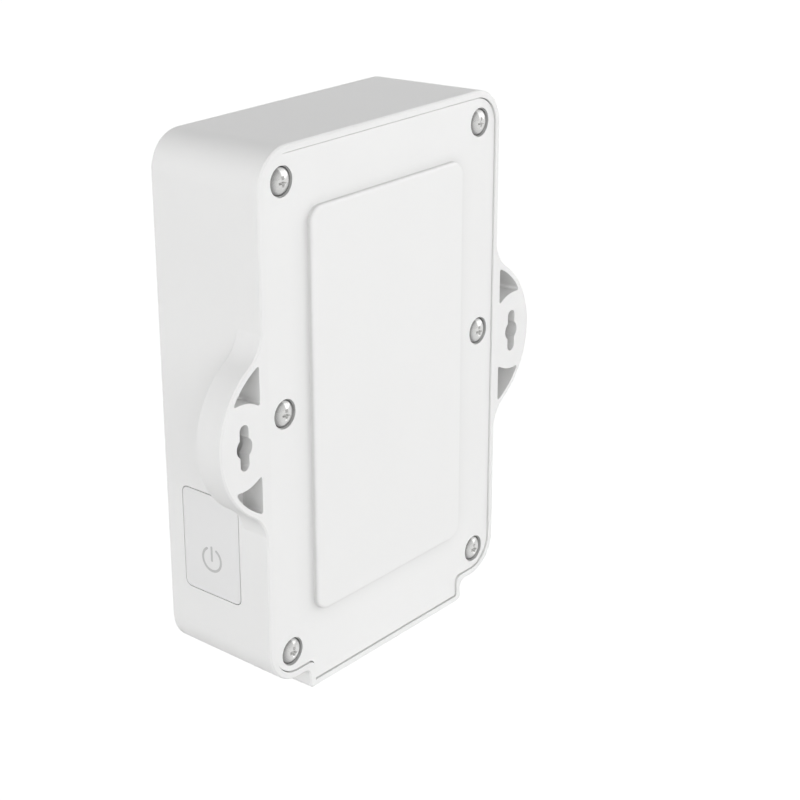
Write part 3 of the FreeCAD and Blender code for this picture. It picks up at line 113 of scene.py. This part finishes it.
# Cross recess: its floor's half sizes are shares of its span and width
CROSS_SPAN = 3.0 * MM
CROSS_WIDTH = 1.00 * MM
CROSS_DEPTH = 0.60 * MM
CROSS_FLOOR_SPAN = 0.20
CROSS_FLOOR_WIDTH = 0.16
CUTTER_RISE = 0.3 * MM

# Thread: its tip has a share of the full radius, and widens by one full radius in GROWTH_TURNS
SCREW_SHANK_RADIUS = 1.25 * MM
SCREW_ROOT_RADIUS = 0.95 * MM
SCREW_SHANK_LENGTH = 8.0 * MM
SCREW_PITCH = 1.0 * MM
SHANK_SEGMENTS = 24
TIP_SHARE = 0.35
GROWTH_TURNS = 2.0

# Power sign printed on the button, with its middle at a depth in front of the rear rim
SIGN_Z = 27.4 * MM
SIGN_DEPTH = 14.85 * MM
SIGN_RADIUS = 2.38 * MM
SIGN_STROKE = 0.50 * MM
SIGN_OPENING = 62.0
SIGN_BAR_FOOT = -0.2 * MM
SIGN_BAR_TOP = 2.5 * MM
SIGN_RELIEF = 0.03 * MM
SIGN_GREY = 0.57

# Drafted side of the case, which the button is flush with
DRAFT_ANGLE = 1.2
HALF_BODY = 35.0 * MM
RIM_Y = 13.025 * MM


# Shader steps

def node(tree, kind, **settings):
    """Add a shader node and set its plain properties."""
    item = tree.nodes.new(kind)
    for name, value in settings.items():
        setattr(item, name, value)
    return item


def feed(tree, value, socket):
    """Give an input a plain number or another node's output."""
    if isinstance(value, float):
        socket.default_value = value
    else:
        tree.links.new(value, socket)


def math_step(tree, operation, first, second):
    """One sum of two numbers or outputs."""
    item = node(tree, "ShaderNodeMath", operation=operation)
    feed(tree, first, item.inputs[0])
    feed(tree, second, item.inputs[1])
    return item.outputs[0]


def noise(tree, coordinates, scale, detail=2.0, roughness=0.5):
    """Noise value in the object's own space; scale counts cells in a metre."""
    item = node(tree, "ShaderNodeTexNoise")
    item.inputs["Scale"].default_value = scale
    item.inputs["Detail"].default_value = detail
    item.inputs["Roughness"].default_value = roughness
    tree.links.new(coordinates, item.inputs["Vector"])
    return item.outputs["Fac"]


def remap(tree, value, low, high):
    """Spread a 0..1 value over low..high."""
    item = node(tree, "ShaderNodeMapRange")
    item.inputs["To Min"].default_value = low
    item.inputs["To Max"].default_value = high
    tree.links.new(value, item.inputs["Value"])
    return item.outputs["Result"]


def scaled(color, factor):
    """A colour made darker or lighter by a factor, as far as white."""
    return [min(1.0, channel * factor) for channel in color[:3]]


def toned(tree, factor, color, spread):
    """Colour that drifts between a slightly darker and a slightly lighter tone of itself."""
    mix = node(tree, "ShaderNodeMix", data_type="RGBA")
    mix.inputs["A"].default_value = scaled(color, 1 - spread) + [1.0]
    mix.inputs["B"].default_value = scaled(color, 1 + spread) + [1.0]
    tree.links.new(factor, mix.inputs["Factor"])
    return mix.outputs["Result"]


def multiplied(tree, color, shade):
    """Colour times a grey value."""
    mix = node(tree, "ShaderNodeMix", data_type="RGBA", blend_type="MULTIPLY")
    mix.inputs["Factor"].default_value = 1.0
    tree.links.new(color, mix.inputs["A"])
    tree.links.new(shade, mix.inputs["B"])
    return mix.outputs["Result"]


def bump(tree, height, distance, strength):
    """Surface relief from a height value; distance in metres."""
    item = node(tree, "ShaderNodeBump")
    item.inputs["Distance"].default_value = distance
    item.inputs["Strength"].default_value = strength
    tree.links.new(height, item.inputs["Height"])
    return item.outputs["Normal"]


def openness(tree, reach, own_only):
    """1 on open surfaces, falling towards 0 where surfaces close in within a reach."""
    item = node(tree, "ShaderNodeAmbientOcclusion", samples=16, only_local=own_only)
    item.inputs["Distance"].default_value = reach
    return item.outputs["AO"]


def painted_shade_in_pockets(tree, color, reach, depth):
    """Colour with painted shade where the piece closes in on itself, apart from narrow seams."""
    closed = math_step(tree, "SUBTRACT", 1.0, openness(tree, reach, True))
    pocket = math_step(tree, "MULTIPLY", closed, openness(tree, SEAM_REACH, True))
    shade = math_step(tree, "SUBTRACT", 1.0, math_step(tree, "MULTIPLY", pocket, depth))
    return multiplied(tree, color, shade)


def painted_shade_near_seat(tree, color):
    """Colour with painted shade on flanks that stand close to another piece."""
    own = openness(tree, PAINTED_FLANK_SHADE_REACH, True)
    near = math_step(tree, "SUBTRACT", own, openness(tree, PAINTED_FLANK_SHADE_REACH, False))
    lost = math_step(tree, "MULTIPLY", near, PAINTED_FLANK_SHADE_DEPTH)
    shade = math_step(tree, "MAXIMUM", math_step(tree, "SUBTRACT", 1.0, lost), PAINTED_FLANK_SHADE_DARKEST)
    return multiplied(tree, color, shade)


# Materials

def new_material(name):
    """Empty Principled material: (material, tree, shader, object coordinates)."""
    material = bpy.data.materials.new(name)
    material.use_nodes = True
    tree = material.node_tree
    shader = tree.nodes["Principled BSDF"]
    coordinates = node(tree, "ShaderNodeTexCoord").outputs["Object"]
    return material, tree, shader, coordinates


def moulded(name, color, roughness, grain=7000.0, relief=0.00001, spread=0.012, strength=0.25,
            reach=HOUSING_PAINTED_SHADE_REACH, depth=HOUSING_PAINTED_SHADE_DEPTH):
    """Moulded surface: slow tone drift, painted shade in its pockets, fine grain and uneven sheen."""
    unevenness = 0.06
    material, tree, shader, coordinates = new_material(name)
    drift = noise(tree, coordinates, 55.0, 3.0)
    speck = noise(tree, coordinates, grain, 2.0, 0.6)
    # The colour gets painted shade in its pockets
    tone = painted_shade_in_pockets(tree, toned(tree, drift, color, spread), reach, depth)
    sheen = remap(tree, speck, roughness - unevenness, roughness + unevenness)
    tree.links.new(tone, shader.inputs["Base Color"])
    tree.links.new(sheen, shader.inputs["Roughness"])
    tree.links.new(bump(tree, speck, relief, strength), shader.inputs["Normal"])
    return material


def metal(name, color, roughness, tone=1.0, seated=False):
    """Metal with fine stretched scratches; a piece on a seat can get painted shade where its seat is
    close.
    """
    material, tree, shader, coordinates = new_material(name)
    stretch = node(tree, "ShaderNodeMapping")
    stretch.inputs["Scale"].default_value = BRUSH_CELLS
    tree.links.new(coordinates, stretch.inputs["Vector"])
    scratch = noise(tree, stretch.outputs["Vector"], 1.0, 3.0, 0.6)
    surface = toned(tree, scratch, scaled(color, tone), 0.05)
    if seated:
        # Painted shade on the flanks near the seat
        surface = painted_shade_near_seat(tree, surface)
    sheen = remap(tree, scratch, roughness - 0.05, roughness + 0.08)
    tree.links.new(surface, shader.inputs["Base Color"])
    tree.links.new(sheen, shader.inputs["Roughness"])
    tree.links.new(bump(tree, scratch, BRUSH_RELIEF, 0.3), shader.inputs["Normal"])
    shader.inputs["Metallic"].default_value = 1.0
    return material


def clear(name, color, roughness):
    """Clear plastic with faint flow marks."""
    material = moulded(name, color, roughness, grain=900.0, relief=0.000004)
    shader = material.node_tree.nodes["Principled BSDF"]
    shader.inputs["Transmission Weight"].default_value = 0.85
    shader.inputs["IOR"].default_value = 1.49
    return material


def circuit(name, color):
    """Solder mask over copper tracks: raised fine lines on a glossy board."""
    material, tree, shader, coordinates = new_material(name)
    tracks = node(tree, "ShaderNodeTexBrick")
    tracks.inputs["Scale"].default_value = 160.0
    tracks.inputs["Mortar Size"].default_value = 0.012
    tree.links.new(coordinates, tracks.inputs["Vector"])
    drift = noise(tree, coordinates, 300.0)
    tree.links.new(toned(tree, tracks.outputs["Fac"], color, 0.25), shader.inputs["Base Color"])
    tree.links.new(remap(tree, drift, 0.28, 0.40), shader.inputs["Roughness"])
    tree.links.new(bump(tree, tracks.outputs["Fac"], 0.00002, 0.5), shader.inputs["Normal"])
    return material


def slot_color(slot_name):
    """Base colour of a material slot in the record."""
    for entry in frame["record"]["materials"]:
        if entry["slot"] == slot_name:
            return entry["base_color"]
    raise KeyError(slot_name)


def slot_materials():
    """A procedural material for every slot of the record."""
    # The cover's painted shade looks less far and darkens more
    cover_painted_shade = {"reach": COVER_PAINTED_SHADE_REACH, "depth": COVER_PAINTED_SHADE_DEPTH}
    looks = {
        "housing_plastic": (moulded, {"roughness": 0.55}),
        "cover_plastic": (moulded, {"roughness": 0.55, **cover_painted_shade}),
        "button_plastic": (moulded, {"roughness": 0.50}),
        "seal_rubber": (moulded, {"roughness": 0.80, "grain": 3000.0}),
        # The cover screws get painted shade near their seat
        "screw_steel": (metal, {"roughness": 0.12, "tone": SCREW_TONE, "seated": True}),
        "small_screw_steel": (metal, {"roughness": 0.30}),
        "switch_plastic": (moulded, {"roughness": 0.50}),
        "plunger_plastic": (moulded, {"roughness": 0.50}),
        "circuit_board": (circuit, {}),
        "shield_metal": (metal, {"roughness": 0.35}),
        "chip_plastic": (moulded, {"roughness": 0.60, "grain": 12000.0}),
        "antenna_metal": (metal, {"roughness": 0.32}),
        "coil_copper": (metal, {"roughness": 0.35}),
        "led_resin": (moulded, {"roughness": 0.20}),
        "clear_plastic": (clear, {"roughness": 0.12}),
        "holder_plastic": (moulded, {"roughness": 0.55}),
        "cell_wrap": (moulded, {"roughness": 0.30, "grain": 1500.0}),
        "contact_metal": (metal, {"roughness": 0.30}),
        "foam": (moulded, {
            "roughness": 0.90, "grain": 2500.0, "relief": 0.00008, "spread": 0.08, "strength": 0.6}),
        "membrane_film": (moulded, {"roughness": 0.75, "grain": 9000.0}),
    }
    return {name: make(name, slot_color(name), **look) for name, (make, look) in looks.items()}


def dress_nodes(materials):
    """Give each CAD node the material of its slot."""
    slots = {entry["node"]: entry["material_slot"] for entry in frame["record"]["subparts"]}
    for name, item in frame["nodes"].items():
        material = materials[slots[name]]
        for holder in item.material_slots:
            holder.material = material
        if not item.material_slots:
            item.data.materials.append(material)


# Mesh helpers

def add_object(name, mesh, material):
    """Put a mesh in the scene with one material."""
    item = bpy.data.objects.new(name, mesh)
    bpy.context.scene.collection.objects.link(item)
    mesh.materials.append(material)
    return item


def mesh_from(name, bm):
    """Finish a bmesh with outward normals."""
    bmesh.ops.recalc_face_normals(bm, faces=bm.faces)
    mesh = bpy.data.meshes.new(name)
    bm.to_mesh(mesh)
    bm.free()
    return mesh


def turned(bm, profile, segments):
    """Revolve (radius, height) points about Z; a radius of 0 closes an end."""
    rings = []
    for radius, height in profile:
        if radius == 0:
            rings.append([bm.verts.new((0, 0, height))])
            continue
        ring = []
        for step in range(segments):
            angle = 2 * math.pi * step / segments
            ring.append(bm.verts.new((radius * math.cos(angle), radius * math.sin(angle), height)))
        rings.append(ring)
    for lower, upper in zip(rings, rings[1:]):
        for step in range(segments):
            following = (step + 1) % segments
            corners = [
                lower[step % len(lower)],
                lower[following % len(lower)],
                upper[following % len(upper)],
                upper[step % len(upper)],
            ]
            bm.faces.new(list(dict.fromkeys(corners)))


def cut(item, cutter):
    """Take a cutter's volume out of an object and drop the cutter."""
    modifier = item.modifiers.new("cut", "BOOLEAN")
    modifier.operation = "DIFFERENCE"
    modifier.solver = "EXACT"
    modifier.object = cutter
    bpy.context.view_layer.update()
    evaluated = item.evaluated_get(bpy.context.evaluated_depsgraph_get())
    shape = bpy.data.meshes.new_from_object(evaluated)
    item.modifiers.clear()
    item.data = shape
    bpy.data.objects.remove(cutter)


def smooth_by_angle(mesh, degrees):
    """Smooth faces with hard edges where the surface turns sharply."""
    for polygon in mesh.polygons:
        polygon.use_smooth = True
    mesh.set_sharp_from_angle(angle=math.radians(degrees))


# Cover screws

def head_profile():
    """Dome head from its seat over a short side and a part of a ball."""
    steps = 14
    rise = CROWN_HEIGHT - SCREW_SIDE_HEIGHT
    ball = (SCREW_HEAD_RADIUS ** 2 + rise ** 2) / (2 * rise)
    opening = math.asin(SCREW_HEAD_RADIUS / ball)
    profile = [(0, 0), (SCREW_HEAD_RADIUS, 0)]
    for step in range(steps):
        angle = opening * (1 - step / steps)
        height = CROWN_HEIGHT - ball * (1 - math.cos(angle))
        profile.append((ball * math.sin(angle), height))
    profile.append((0, CROWN_HEIGHT))
    return profile


def wing(bm, direction):
    """One tapered wing of the cross recess's cutter."""
    sideways = Vector((-direction.y, direction.x, 0))
    levels = [
        (CROWN_HEIGHT + CUTTER_RISE, CROSS_SPAN / 2, CROSS_WIDTH / 2),
        (CROWN_HEIGHT - CROSS_DEPTH, CROSS_SPAN * CROSS_FLOOR_SPAN, CROSS_WIDTH * CROSS_FLOOR_WIDTH),
    ]
    corners = []
    for height, half_span, half_width in levels:
        for along in (-1, 1):
            for side in (-1, 1):
                reach = direction * half_span * along + sideways * half_width * side
                corners.append(bm.verts.new(reach + Vector((0, 0, height))))
    bmesh.ops.convex_hull(bm, input=corners)


def screw_head_mesh(material):
    """Dome head with a cross recess, its seat at the origin and its top along Z."""
    bm = bmesh.new()
    turned(bm, head_profile(), HEAD_SEGMENTS)
    head = add_object("screw_pattern", mesh_from("screw_pattern", bm), material)
    for direction in (Vector((1, 0, 0)), Vector((0, 1, 0))):
        bm = bmesh.new()
        wing(bm, direction)
        cut(head, add_object("wing_cutter", mesh_from("wing_cutter", bm), material))
    mesh = head.data
    bpy.data.objects.remove(head)
    return mesh


def add_thread(bm):
    """Tapping thread below the head: a root spiral and a crest spiral joined by flanks."""
    turns = int(SCREW_SHANK_LENGTH / SCREW_PITCH) - 1
    count = turns * SHANK_SEGMENTS
    roots = []
    crests = []
    for step in range(count + SHANK_SEGMENTS + 1):
        angle = 2 * math.pi * step / SHANK_SEGMENTS
        height = -SCREW_SHANK_LENGTH + SCREW_PITCH * step / SHANK_SEGMENTS
        taper = min(1.0, TIP_SHARE + step / (GROWTH_TURNS * SHANK_SEGMENTS))
        across = Vector((math.cos(angle), math.sin(angle), 0))
        root = across * SCREW_ROOT_RADIUS * taper + Vector((0, 0, height))
        crest = across * SCREW_SHANK_RADIUS * taper + Vector((0, 0, height + SCREW_PITCH / 2))
        roots.append(bm.verts.new(root))
        crests.append(bm.verts.new(crest))
    for step in range(count + SHANK_SEGMENTS):
        bm.faces.new((roots[step], roots[step + 1], crests[step + 1], crests[step]))
        if step < count:
            above = step + SHANK_SEGMENTS
            bm.faces.new((crests[step], crests[step + 1], roots[above + 1], roots[above]))
    bm.faces.new(list(reversed(roots[:SHANK_SEGMENTS])))


def screw_places(low, high):
    """Each cover screw as (x, z) in the node's box, in pairs from the lowest up."""
    pairs = [
        (SCREW_CORNER_X, low[2] + SCREW_HEAD_RADIUS),
        (high[0] - SCREW_HEAD_RADIUS, SCREW_MIDDLE_Z),
        (SCREW_CORNER_X, high[2] - SCREW_HEAD_RADIUS),
    ]
    return [(x * side, z) for x, z in pairs for side in (-1, 1)]


def add_cover_screws(materials):
    """Six cross-recessed dome-head screws in place of the plain ones."""
    low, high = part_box("cover_screws")
    seat_y = high[1] - CAD_HEAD_HEIGHT
    head = screw_head_mesh(materials["screw_steel"])
    face_rear = Matrix.Rotation(math.radians(-90), 4, "X")
    screws = []
    for (x, z), turn in zip(screw_places(low, high), SCREW_TURNS):
        name = f"cover_screw_{len(screws) + 1}"
        bm = bmesh.new()
        bm.from_mesh(head)
        add_thread(bm)
        mesh = mesh_from(name, bm)
        spin = Matrix.Rotation(math.radians(turn), 4, "Z")
        mesh.transform(Matrix.Translation((x, seat_y, z)) @ face_rear @ spin)
        smooth_by_angle(mesh, SHARP_TURN)
        screw = add_object(name, mesh, materials["screw_steel"])
        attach(screw, "case")
        screws.append(screw)
    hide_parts("cover_screws")


# Power sign on the button

def button_face_x(depth):
    """X of the drafted button face at a depth in front of the rear rim."""
    return HALF_BODY - math.tan(math.radians(DRAFT_ANGLE)) * depth


def raise_outline(bm, outline):
    """Thin raised print on the button's face from an outline of (across, up) points."""
    foot = []
    top = []
    for across, up in outline:
        depth = SIGN_DEPTH - across
        place = Vector((button_face_x(depth), RIM_Y - depth, SIGN_Z + up))
        foot.append(bm.verts.new(place - Vector((SIGN_RELIEF, 0, 0))))
        top.append(bm.verts.new(place + Vector((SIGN_RELIEF, 0, 0))))
    bm.faces.new(top)
    bm.faces.new(list(reversed(foot)))
    for index in range(len(outline)):
        following = (index + 1) % len(outline)
        bm.faces.new((foot[index], foot[following], top[following], top[index]))


def round_end(centre, start):
    """Points of a half circle about a centre, between its start and its end."""
    steps = 8
    points = []
    for step in range(1, steps):
        angle = -math.pi * step / steps
        points.append(centre + Matrix.Rotation(angle, 2) @ start)
    return points


def rounded_stroke(points, stroke):
    """Outline of a stroke with round ends along a list of points."""
    half = stroke / 2
    left = []
    right = []
    for index, point in enumerate(points):
        before = points[max(index - 1, 0)]
        after = points[min(index + 1, len(points) - 1)]
        along = (after - before).normalized()
        across = Vector((-along.y, along.x))
        left.append(point + across * half)
        right.append(point - across * half)
    far_end = round_end(points[-1], left[-1] - points[-1])
    near_end = round_end(points[0], right[0] - points[0])
    return left + far_end + list(reversed(right)) + near_end


def add_power_sign():
    """Open ring and bar on the lower half of the button."""
    steps = 40
    start = math.radians(90 + SIGN_OPENING / 2)
    sweep = math.radians(360 - SIGN_OPENING)
    ring = []
    for step in range(steps + 1):
        angle = start + sweep * step / steps
        ring.append(Vector((math.cos(angle), math.sin(angle))) * SIGN_RADIUS)
    bar = [Vector((0, SIGN_BAR_FOOT)), Vector((0, SIGN_BAR_TOP))]
    bm = bmesh.new()
    for stroke in (ring, bar):
        raise_outline(bm, rounded_stroke(stroke, SIGN_STROKE))
    ink = moulded("sign_print", [SIGN_GREY] * 3, 0.55)
    sign = add_object("power_sign", mesh_from("power_sign", bm), ink)
    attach(sign, "button")


# Surroundings

def add_camera():
    """Camera at the photograph's place, with its lens centre left of the image's middle."""
    yaw = math.radians(CAMERA_YAW)
    pitch = math.radians(CAMERA_PITCH)
    level_x = -math.sin(yaw) * math.cos(pitch)
    level_y = -math.cos(yaw) * math.cos(pitch)
    forward = Vector((level_x, level_y, -math.sin(pitch)))
    level_right = forward.cross(Vector((0, 0, 1))).normalized()
    level_up = level_right.cross(forward)
    roll = Matrix.Rotation(math.radians(CAMERA_ROLL), 3, forward)
    axes = Matrix((roll @ level_right, roll @ level_up, -forward)).transposed()
    data = bpy.data.cameras.new("camera")
    data.sensor_width = SENSOR_WIDTH
    data.lens = SENSOR_WIDTH * LENS_PIXELS / IMAGE_SIZE
    data.shift_x = (IMAGE_SIZE / 2 - PRINCIPAL_POINT[0]) / IMAGE_SIZE
    data.shift_y = (PRINCIPAL_POINT[1] - IMAGE_SIZE / 2) / IMAGE_SIZE
    data.clip_start = 0.01
    camera = bpy.data.objects.new("camera", data)
    camera.matrix_world = Matrix.Translation(CAMERA_PLACE) @ axes.to_4x4()
    bpy.context.scene.collection.objects.link(camera)
    bpy.context.scene.camera = camera


def add_softbox(name, direction, distance, size, level):
    """Square soft light that lights a facing white surface by about the given level."""
    data = bpy.data.lights.new(name, "AREA")
    data.shape = "SQUARE"
    data.size = size
    data.energy = level * math.pi * math.pi * distance ** 2
    light = bpy.data.objects.new(name, data)
    towards = Vector(direction).normalized()
    light.location = LAMP_TARGET + towards * distance
    light.rotation_euler = (-towards).to_track_quat("-Z", "Y").to_euler()
    bpy.context.scene.collection.objects.link(light)


def shows_background(tree):
    """1 for rays that look at the background, straight, in a gloss or through something clear."""
    rays = node(tree, "ShaderNodeLightPath").outputs
    straight_or_gloss = math_step(tree, "MAXIMUM", rays["Is Camera Ray"], rays["Is Glossy Ray"])
    return math_step(tree, "MAXIMUM", straight_or_gloss, rays["Is Transmission Ray"])


def world_light(tree, strength):
    """White world light whose strength is a number or an output."""
    light = node(tree, "ShaderNodeBackground")
    light.inputs["Color"].default_value = (1, 1, 1, 1)
    feed(tree, strength, light.inputs["Strength"])
    return light.outputs[0]


def set_world():
    """Studio: light walls under a dim ceiling, white behind the object and in its gloss."""
    world = bpy.data.worlds.new("studio")
    bpy.context.scene.world = world
    world.use_nodes = True
    tree = world.node_tree
    tree.nodes.clear()
    direction = node(tree, "ShaderNodeSeparateXYZ")
    tree.links.new(node(tree, "ShaderNodeTexCoord").outputs["Generated"], direction.inputs[0])
    below_zenith = math_step(tree, "SUBTRACT", 1.0, direction.outputs["Z"])
    fall = math_step(tree, "POWER", below_zenith, ZENITH_FALL)
    soft = world_light(tree, math_step(tree, "MULTIPLY", fall, HORIZON_LEVEL))
    choice = node(tree, "ShaderNodeMixShader")
    output = node(tree, "ShaderNodeOutputWorld")
    tree.links.new(shows_background(tree), choice.inputs["Fac"])
    tree.links.new(soft, choice.inputs[1])
    tree.links.new(world_light(tree, 1.0), choice.inputs[2])
    tree.links.new(choice.outputs[0], output.inputs["Surface"])


def floor_paper():
    """Grey paper that glows up to white where it is the background."""
    material = bpy.data.materials.new("floor_paper")
    material.use_nodes = True
    tree = material.node_tree
    tree.nodes.clear()
    paper = node(tree, "ShaderNodeBsdfDiffuse")
    paper.inputs["Color"].default_value = (FLOOR_GREY, FLOOR_GREY, FLOOR_GREY, 1)
    glow = node(tree, "ShaderNodeEmission")
    feed(tree, math_step(tree, "MULTIPLY", shows_background(tree), FLOOR_GLOW), glow.inputs["Strength"])
    both = node(tree, "ShaderNodeAddShader")
    output = node(tree, "ShaderNodeOutputMaterial")
    tree.links.new(paper.outputs[0], both.inputs[0])
    tree.links.new(glow.outputs[0], both.inputs[1])
    tree.links.new(both.outputs[0], output.inputs["Surface"])
    return material


def add_floor():
    """Pale floor that reads as white and keeps the object's soft shadow."""
    half = FLOOR_HALF_WIDTH
    corners = [(-half, -half, 0), (half, -half, 0), (half, half, 0), (-half, half, 0)]
    bm = bmesh.new()
    bm.faces.new([bm.verts.new(corner) for corner in corners])
    material = floor_paper()
    add_object("floor", mesh_from("floor", bm), material)


all_materials = slot_materials()
dress_nodes(all_materials)
add_cover_screws(all_materials)
add_power_sign()
add_camera()
set_world()
add_floor()
for lamp_name, lamp in LAMPS.items():
    add_softbox(lamp_name, **lamp)
bpy.context.scene.view_settings.view_transform = "Standard"
